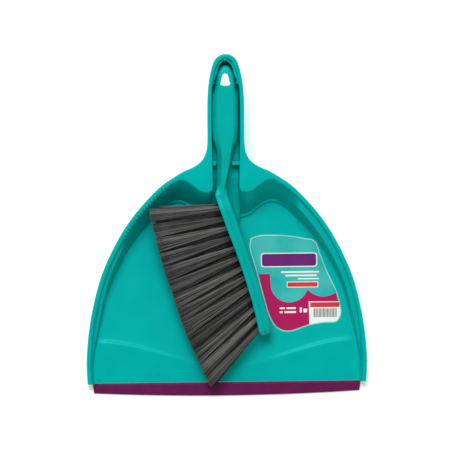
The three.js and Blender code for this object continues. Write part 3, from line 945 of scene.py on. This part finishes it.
def build_comb(settings):
    """Short ribs across the left of the rim that comb the bristles clean."""
    path = [p for p in spline(OUTLINE_SIDE, 400) if COMB_FROM_Y < p.y < COMB_TO_Y]
    teeth = []
    for i in range(settings.comb_teeth):
        place = (i + 0.5) / settings.comb_teeth * (len(path) - 2)
        at, ahead = path[int(place)], path[int(place) + 1]
        turn = math.atan2(ahead.y - at.y, -(ahead.x - at.x))
        out_x, out_y = math.sin(turn), -math.cos(turn)
        centre = (-at.x + 3.1 * out_x, at.y + 3.1 * out_y, rim_z(at.y) - 0.5)
        lean = (math.atan(RIM_SLOPE), 0, turn)
        teeth.append(block(f"tooth_{i}", centre, (1.7, 3.6, 2.4), 0.45, lean))
    comb = join(teeth, "comb_teeth")
    comb.data.materials.append(bpy.data.materials["moulded polypropylene pan"])
    shade(comb)
    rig.ride(comb, "dustpan")
    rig.slot(comb, "pan_plastic")


def tip_ledge():
    """The crescent-shaped ledge round the end of the channel."""
    half = [p for p in half_spline(TOP_CHANNEL, 90) if p.y > 128]
    arc = half + [Vector((-p.x, p.y)) for p in reversed(half[:-1])]
    centre = Vector((0, 140))
    outer = [p + (p - centre).normalized() * 0.6 for p in arc]
    inner = [
        p - (p - centre).normalized() * lerp(0.4, 2.7, smooth(p.y, 128, 142)) for p in reversed(arc)
    ]
    rings = [
        [Vector((p.x, p.y, rim_z(p.y) - drop)) for p in outer + inner] for drop in (10.5, 5.2)
    ]
    return loft_piece("tip_ledge", rings)


def build_snap_ribs():
    """Ribs and a ledge in the channel that hold the brush handle."""
    parts = []
    lean = (math.atan(BRUSH_SLOPE), 0, 0)
    for sign in (-1, 1):
        neck_gap = 7.4 - 1.6 * sign  # the neck leans to the left
        wide = CHANNEL_HALF + 0.7 - neck_gap
        centre = (sign * (neck_gap + wide / 2), 59, brush_z(59) - 4)
        parts.append(block(f"neck_tab{sign}", centre, (wide, 3.8, 13), 0.6, lean))
        centre = (sign * 11.2, 134.4, brush_z(139) - 3.9)
        parts.append(block(f"nub{sign}", centre, (2.7, 3.2, 12), 0.7, lean))
    parts.append(tip_ledge())
    parts.append(block("tip_nub", (-0.5, 155.3, rim_z(155) - 3), (2.6, 2.2, 4), 0.6, lean))
    ribs = join(parts, "snap_ribs")
    ribs.data.materials.append(bpy.data.materials["moulded polypropylene pan"])
    shade(ribs)
    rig.ride(ribs, "dustpan")
    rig.slot(ribs, "pan_plastic")


class SETWORKS_OT_pan_ribs(bpy.types.Operator):
    """Models the comb on the rim and the snap ribs in the handle's channel"""

    bl_idname = "setworks.pan_ribs"
    bl_label = "Comb and snap ribs"

    def execute(self, context):
        build_comb(context.scene.dust_pan)
        build_snap_ribs()
        return {"FINISHED"}


# ---- Lip ----
def build_lip(settings):
    """The rubber strip along the pan's front edge, with a thin bowed front."""
    rings = []
    back = FRONT_Y - FIT_GAP
    columns = 96
    for i in range(columns + 1):
        t = 2 * i / columns - 1
        front = LIP_FRONT_Y + LIP_BOW * t * t
        slant = 1.2 * smooth(abs(t), 0.985, 1.0)
        section = [
            (back, 0.02), (back, LIP_BACK_Z), (back - 2.2, LIP_BACK_Z),
            (front + 1.2, LIP_FRONT_Z + 0.25), (front, LIP_FRONT_Z), (front, 0.02),
        ]
        loop = [Vector((0, y, z)) for y, z in section]
        ring = rounded([loop[-1], *loop, loop[0]], [0.3, 0.7, 0.6, 0.5, 0.5, 0.3])[1:-1]
        for p in ring:
            share = (back - p.y) / (back - front)
            p.x = t * LIP_HALF - math.copysign(slant * share, t)
        rings.append(ring)
    material = soft_rubber("thermoplastic rubber lip", settings.rubber, "#60124a")
    lip = loft_piece("lip_strip", rings, [material], "dustpan", "lip_rubber")
    shade(lip, 40)
    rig.replaces(lip, "lip")


class SETWORKS_OT_lip(bpy.types.Operator):
    """Models the rubber lip"""

    bl_idname = "setworks.lip"
    bl_label = "Lip"

    def execute(self, context):
        build_lip(context.scene.dust_trim)
        return {"FINISHED"}


# ---- Brush ----
def to_world(p):
    """From the brush's own plane to the frame, in millimetres."""
    angle = math.atan(BRUSH_SLOPE)
    along, up = math.cos(angle), math.sin(angle)
    return Vector((p.x, p.y * along - p.z * up, BRUSH_Z + p.y * up + p.z * along))


def head_rings():
    """Sections of the block that the tufts stand in, from the neck to its free end."""
    roots, backs = spline(ROOT_LINE, 60), spline(BACK_LINE, 60)
    rings = []
    for i, (root, back) in enumerate(zip(roots, backs)):
        half = HEAD_HALF_WIDTH * lerp(0.72, 1, smooth(i, 0, 7))
        corners = [
            (0, 1), (0.38, 1), (0.47, 0.85), (0.57, 0.85), (0.66, 0.94), (0.9, 0.88), (1, 0.5),
        ]
        radii = [1, 0.5, 0.5, 0.5, 0.6, 1.5, 3]
        corners += [(share, -width) for share, width in reversed(corners)]
        loop = []
        for share, width in corners:
            at = root.lerp(back, share)
            loop.append(Vector((at.x, at.y, half * width)))
        rings.append(rounded([loop[-1], *loop, loop[0]], radii + radii[::-1])[1:-1])
    start, end = shrunk(rings[0], 0.66, (0.2, 8, 0)), shrunk(rings[-1], 0.72, (0.2, 0.4, 0))
    return [start, *rings[:-2], end]


def shrunk(ring, factor, shift):
    """The ring drawn together about its centre and moved: it closes the end of a loft softly."""
    centre = sum(ring, Vector()) / len(ring)
    return [centre + (p - centre) * factor + Vector(shift) for p in ring]


def handle_rings():
    """Sections of the handle: a flat top that leans over at the neck, and sides that spread."""
    knots = [Vector(row) for row in HANDLE]
    rings = []
    for y, centre, half, thick in spline(knots, 90):
        spread = half + FLANGE * smooth(y, 66, 84) * (1 - smooth(y, 120, 132))
        left = lerp(-0.1, -0.78, smooth(y, 30, 112))
        right = lerp(0.74, 0.82, smooth(y, 60, 100))
        middle, groove = half * (right + left) / 2, 0.17 * (1 - smooth(y, 58, 82))
        brow = lerp(0.05, 0.5, smooth(y, 66, 84))
        corners = [
            (half * right, 1), (middle + 0.9, 1), (middle, 1 - groove), (middle - 0.9, 1),
            (half * left, 1), (-spread, brow), (-spread, -0.5), (-half * 0.7, -1), (half * 0.7, -1),
            (spread, -0.5), (spread, brow),
        ]
        loop = [Vector((centre + u, y, w * thick)) for u, w in corners]
        radii = [0.8, 0.2, 0.4, 0.2, 0.8, 1, 1, 1, 1, 1, 1]
        rings.append(rounded([loop[-1], *loop, loop[0]], radii)[1:-1])
    return rings


def build_brush_body(settings):
    material = moulded_polypropylene("moulded polypropylene brush", settings.colour, "#03a4a1")
    parts = []
    for name, rings in (("brush_moulding", head_rings()), ("brush_handle", handle_rings())):
        parts.append(loft_piece(name, [[to_world(p) for p in ring] for ring in rings], [material]))
    body = join(parts, "brush_moulding")
    apply_modifier(body, "REMESH", mode="VOXEL", voxel_size=REMESH_SIZE * MM, use_smooth_shade=True)
    apply_modifier(body, "SMOOTH", factor=0.5, iterations=SMOOTH_ROUNDS)
    cut(body, hang_hole_cutter(0.0))
    shade(body, 50)
    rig.ride(body, "brush")
    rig.slot(body, "brush_plastic")
    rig.replaces(body, "brush_body")


class SETWORKS_OT_brush_body(bpy.types.Operator):
    """Models the brush's handle and head as one moulding"""

    bl_idname = "setworks.brush_body"
    bl_label = "Brush body"

    def execute(self, context):
        build_brush_body(context.scene.dust_brush)
        return {"FINISHED"}


def tuft_places():
    """Every tuft's node name, root, tip and the half sizes of its fanned end."""
    roots, tips = spline(ROOT_LINE, 200), spline(TIP_LINE, 200)
    places = []
    for letter, row in (("a", 1), ("b", 0), ("c", -1)):
        count, shift = (OUTER_ROW_TUFTS - 1, 1) if row == 0 else (OUTER_ROW_TUFTS, 0.5)
        for i in range(count):
            share = (i + shift) / OUTER_ROW_TUFTS
            near = round(share * 200)
            trim = (tips[min(near + 2, 200)] - tips[max(near - 2, 0)]).to_3d().normalized()
            root = roots[round(lerp(0.056, 0.985, share) * 200)]
            tip = tips[near]
            spacing = lerp(8.3, 6.2, smooth(share, 0.4, 1))
            near_wall = max(0, 1 - share / 0.22) * (1 - row) * 5.5
            tip = tip + (root - tip).normalized() * near_wall
            name = f"tuft_{letter}{i + 1:02d}"
            root = Vector((root.x, root.y, row * ROW_SPACING))
            tip = Vector((tip.x, tip.y, row * spacing + 2 * smooth(share, 0.5, 1)))
            half_long = 6.6 - 1.4 * smooth(share, 0.75, 1)
            places.append((name, root, tip, half_long, spacing / 2, trim))
    return places


def filament(verts, faces, shades, path, radius, tone):
    """Adds a three-sided strand along a path."""
    first = len(verts)
    for i, at in enumerate(path):
        ahead = path[min(i + 1, len(path) - 1)] - path[max(i - 1, 0)]
        side = ahead.cross(Vector((0, 0, 1))).normalized()
        up = side.cross(ahead).normalized()
        for k in range(3):
            turn = 2 * math.pi * k / 3
            verts.append(to_world(at + (side * math.cos(turn) + up * math.sin(turn)) * radius))
            shades.append(tone)
    faces.extend(tuple(first + i for i in quad) for quad in ring_faces(len(path), 3))
    last = first + 3 * (len(path) - 1)
    faces.append((first + 2, first + 1, first))
    faces.append((last, last + 1, last + 2))


def build_tuft(name, root, tip, half_long, half_thick, trim, settings, material, rng):
    """A bundle of crimped filaments that fans out from its hole."""
    axis = (tip - root).normalized()
    across = Vector((0, 0, 1)).cross(axis).normalized()
    through = axis.cross(across)
    trim_slope = trim.dot(axis) / trim.dot(across)
    length = (tip - root).length
    radius = settings.filament / MM / 2
    crimp = settings.crimp / MM
    verts, faces, shades = [], [], []
    clumps = [(rng.uniform(-1, 1), rng.uniform(-1, 1), rng.random()) for _ in range(CLUMPS)]
    count = settings.filaments // 4 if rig.quick() else settings.filaments
    for _ in range(count):
        spread = math.sqrt(rng.random())
        turn = rng.random() * 2 * math.pi
        u, v = spread * math.cos(turn), spread * math.sin(turn)
        clump = min(clumps, key=lambda c: (c[0] - u) ** 2 + (c[1] - v) ** 2)
        wave, phase = rng.uniform(6.5, 9.5), rng.uniform(0, 6.28)
        tilt = rng.gauss(0, 0.28)
        end_wide = lerp(u, clump[0], CLING) * half_long * 1.1 + tilt * 1.6
        reach = length + end_wide * trim_slope + rng.gauss(-0.2, 0.4)
        past_blunt_end = root.y + axis.y * reach + across.y * end_wide - BLUNT_END_Y
        if past_blunt_end < 0:
            reach -= past_blunt_end / axis.y
        tone = min(max(clump[2] * 0.5 + rng.gauss(0.22, 0.32), 0), 1)
        path = []
        for k in range(9):
            t = k / 8
            fan = t**1.15
            wide = lerp(u * TUFT_RADIUS * 0.92, end_wide, fan)
            deep = lerp(v * TUFT_RADIUS * 0.92, lerp(v, clump[1], CLING) * half_thick * 1.1, fan)
            wiggle = crimp * math.sin(phase + 2 * math.pi * reach * t / wave) * min(t * 4, 1)
            path.append(
                root + axis * (reach * t - 0.8) + across * (wide + wiggle)
                + through * (deep + 0.5 * wiggle)
            )
        filament(verts, faces, shades, path, radius * rng.uniform(0.85, 1.1), tone)
    piece = new_piece(f"{name}_filaments", "brush", "bristle", verts, faces, [material])
    tones = piece.data.attributes.new("strand", "FLOAT", "POINT")
    tones.data.foreach_set("value", shades)
    select_only(piece)
    bpy.ops.object.shade_smooth()
    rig.replaces(piece, name)


class SETWORKS_OT_tufts(bpy.types.Operator):
    """Models every tuft as a fan of filaments"""

    bl_idname = "setworks.tufts"
    bl_label = "Tufts"

    def execute(self, context):
        settings = context.scene.dust_brush
        colours = (settings.bristle_light, settings.bristle_dark)
        material = drawn_filament("drawn polymer filament", *colours)
        rng = random.Random(settings.seed)
        for place in tuft_places():
            build_tuft(*place, settings, material, rng)
        return {"FINISHED"}


# ---- Label ----
def flat_piece(name, outline, low, high, material):
    """A thin flat piece with the given outline, between two heights."""
    rings = [[Vector((p[0], p[1], z)) for p in outline] for z in (low, high)]
    return loft_piece(name, rings, [material], "dustpan", "label_film")


def closed_spline(points, steps):
    return spline([*points, points[0]], steps)[:-1]


def inset_outline(outline, distance):
    """The outline moved towards its inside by a distance."""
    after = [*outline[1:], outline[0]]
    area = sum(a.x * b.y - b.x * a.y for a, b in zip(outline, after))
    inwards = math.copysign(1, area) * distance
    made = []
    for p, a, b in zip(outline, [outline[-1], *outline], after):
        along = (b - a).normalized()
        made.append(p + Vector((-along.y, along.x)) * inwards)
    return made


def rounded_bar(x0, y0, x1, y1, radius):
    """A rectangle with round corners."""
    corners = [Vector((x1, y0)), Vector((x1, y1)), Vector((x0, y1)), Vector((x0, y0))]
    return rounded([corners[-1], *corners, corners[0]], [radius] * 4, steps=4)[1:-1]


def wave_height(x):
    """Upper edge of the magenta field, with two round bites taken out of it."""
    if x < 42:
        return -46
    if x < 77:
        return -55 - math.sqrt(max(18**2 - (x - 60) ** 2, 0))
    return -48 - math.sqrt(max(19.8**2 - (x - 92) ** 2, 0))


def printed(name, outlines, layer, material):
    """Closed flat shapes of one ink, joined into one piece on a layer of the label."""
    base = LABEL_BASE + FILM_THICKNESS + layer * INK_THICKNESS
    shapes = [
        flat_piece(f"{name}_{i}", outline, base, base + INK_THICKNESS, material)
        for i, outline in enumerate(outlines)
    ]
    return join(shapes, name)


def build_label(settings):
    # The clear field is a lighter teal than the pan and drifts between two shades over large patches: painted
    # reflection of the glossy film over the pan's colour seen through it.
    clear = printed_film("clear polyester film", "#45bdbb", "#10aeab", 0.1)
    # The film is lighter than the clear field inset 0.9 mm on it, so a thin light band shows round the label's edge: a
    # painted highlight along the film's edge.
    film_edge_highlight_paint = printed_film("cut film edge", "#b4e3e0", "#69cdc9", 0.1)
    white = printed_film("white screen ink", "#f4f6f6", "#e9eeee")
    magenta = printed_film("magenta screen ink", settings.magenta, "#ad0d58")
    red = printed_film("red screen ink", settings.red, "#cc3640")
    purple = printed_film("violet screen ink", settings.purple, "#641b6b")
    black = printed_film("black screen ink", "#3b3a42", "#2b2a31")
    edge = closed_spline(LABEL_EDGE, 420)
    film = flat_piece("label_film", edge, LABEL_BASE, LABEL_BASE + FILM_THICKNESS, film_edge_highlight_paint)
    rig.replaces(film, "label")
    inner = inset_outline(edge, 0.9)
    printed("label_field", [inner], 0, clear)
    lower = [Vector((p.x, min(p.y, wave_height(p.x)))) for p in inset_outline(edge, 1.3)]
    printed("label_magenta", [lower], 1, magenta)
    panel = [p for p in inner if p.x >= 78 and p.y <= -72.2] + [Vector((78, -72.2))]
    bars = [
        (33.3, -39.6, 86.5, -26.2, 3.2), (52, -45.2, 88, -43.6, 0.8), (56, -48.4, 86, -46.9, 0.7),
        (68, -51.4, 88, -50.2, 0.6), (57.5, -59, 87.2, -53.4, 1.2), (50.5, -79.2, 55.5, -77.6, 0.7),
        (57, -79.2, 66, -77.6, 0.7), (50.5, -83, 53.5, -81.2, 0.7), (55, -83, 66, -81.2, 0.7),
        (69.5, -82.6, 71.5, -77.8, 0.6), (73, -82.6, 76.4, -79, 0.6),
    ]
    printed("label_white", [panel] + [rounded_bar(*bar) for bar in bars], 2, white)
    printed("label_violet", [rounded_bar(34.3, -38.7, 85.5, -27.1, 2.6)], 3, purple)
    red_bars = [(58.2, -58.3, 86.5, -54.1, 0.9), (79.4, -77.8, 107, -73.2, 0.8)]
    printed("label_red", [rounded_bar(*bar) for bar in red_bars], 3, red)
    stripes = []
    at = 82.6
    for i in range(STRIPES):
        width = 0.35 + 0.3 * (i * 7 % 4) / 3
        stripes.append(rounded_bar(at, -87.2, at + width, -79, 0.1))
        at += width + 0.35 + 0.3 * (i * 5 % 3) / 2
    printed("label_stripes", stripes, 3, black)


class SETWORKS_OT_label(bpy.types.Operator):
    """Models the printed label on the pan's floor"""

    bl_idname = "setworks.label"
    bl_label = "Label"

    def execute(self, context):
        build_label(context.scene.dust_trim)
        return {"FINISHED"}


# ---- Stage ----
def build_stage(settings):
    bpy.ops.object.select_all(action="DESELECT")
    bpy.ops.mesh.primitive_plane_add(size=6, location=(0, 0, -0.0004))
    floor = bpy.context.active_object
    floor.name = "floor"
    floor.data.materials.append(studio_paper("matt background paper", "#ffffff", "#fdfdfd"))
    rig.stage(floor)

    light = bpy.data.lights.new("key_light", "AREA")
    light.shape, light.size, light.energy = "DISK", KEY_SIZE, KEY_POWER
    key = bpy.data.objects.new("key_light", light)
    key.location = KEY_PLACE
    key.rotation_euler = (-Vector(KEY_PLACE)).to_track_quat("-Z", "Y").to_euler()
    bpy.context.scene.collection.objects.link(key)
    world = bpy.data.worlds.new("studio")
    bpy.context.scene.world = world
    world.use_nodes = True
    background = world.node_tree.nodes["Background"].inputs
    background["Color"].default_value = linear("#f6fff0")
    background["Strength"].default_value = AMBIENT_STRENGTH

    camera = bpy.data.objects.new("camera", bpy.data.cameras.new("camera"))
    bpy.context.scene.collection.objects.link(camera)
    aim = Vector(CAMERA_AIM)
    side = math.radians(settings.side_view)
    camera.location = aim + Vector((math.sin(side), 0, math.cos(side))) * settings.distance
    turn = Matrix.Rotation(side, 3, "Y") @ Matrix.Rotation(math.radians(settings.roll), 3, "Z")
    camera.rotation_euler = turn.to_euler()
    camera.data.sensor_width = SENSOR_WIDTH
    camera.data.lens = SENSOR_WIDTH * settings.distance / settings.view_width
    camera.data.clip_end = 20
    bpy.context.scene.camera = camera
    bpy.context.scene.view_settings.view_transform = "Standard"


class SETWORKS_OT_stage(bpy.types.Operator):
    """Sets the background, the lights and the camera"""

    bl_idname = "setworks.stage"
    bl_label = "Stage"

    def execute(self, context):
        build_stage(context.scene.dust_stage)
        return {"FINISHED"}


OPERATORS = (
    SETWORKS_OT_stage,
    SETWORKS_OT_pan,
    SETWORKS_OT_pan_ribs,
    SETWORKS_OT_lip,
    SETWORKS_OT_brush_body,
    SETWORKS_OT_tufts,
    SETWORKS_OT_label,
)


class SETWORKS_PT_panel(bpy.types.Panel):
    """Lists the pieces of the set"""

    bl_label = "Dust pan"
    bl_idname = "SETWORKS_PT_panel"
    bl_space_type = "VIEW_3D"
    bl_region_type = "UI"
    bl_category = "Dust pan"

    def draw(self, context):
        for operator in OPERATORS:
            self.layout.operator(operator.bl_idname)


SETTINGS = {
    "dust_pan": PanSettings,
    "dust_brush": BrushSettings,
    "dust_trim": TrimSettings,
    "dust_stage": StageSettings,
}


def register():
    for group in (*SETTINGS.values(), *OPERATORS, SETWORKS_PT_panel):
        bpy.utils.register_class(group)
    for name, group in SETTINGS.items():
        setattr(bpy.types.Scene, name, bpy.props.PointerProperty(type=group))


def unregister():
    for name in SETTINGS:
        delattr(bpy.types.Scene, name)
    for group in (SETWORKS_PT_panel, *reversed(OPERATORS), *reversed(list(SETTINGS.values()))):
        bpy.utils.unregister_class(group)


def main():
    register()
    for operator in OPERATORS:
        module, name = operator.bl_idname.split(".")
        getattr(getattr(bpy.ops, module), name)()
    for node in frame["nodes"].values():
        assert node.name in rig.table()["cad_nodes_stood_for"], node.name
    visual_box = [list(corner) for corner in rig.bounds()]
    with open("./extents.json", "w") as file:
        json.dump({"cad": CAD_BOX, "visual": visual_box}, file)


if __name__ == "__main__":
    main()
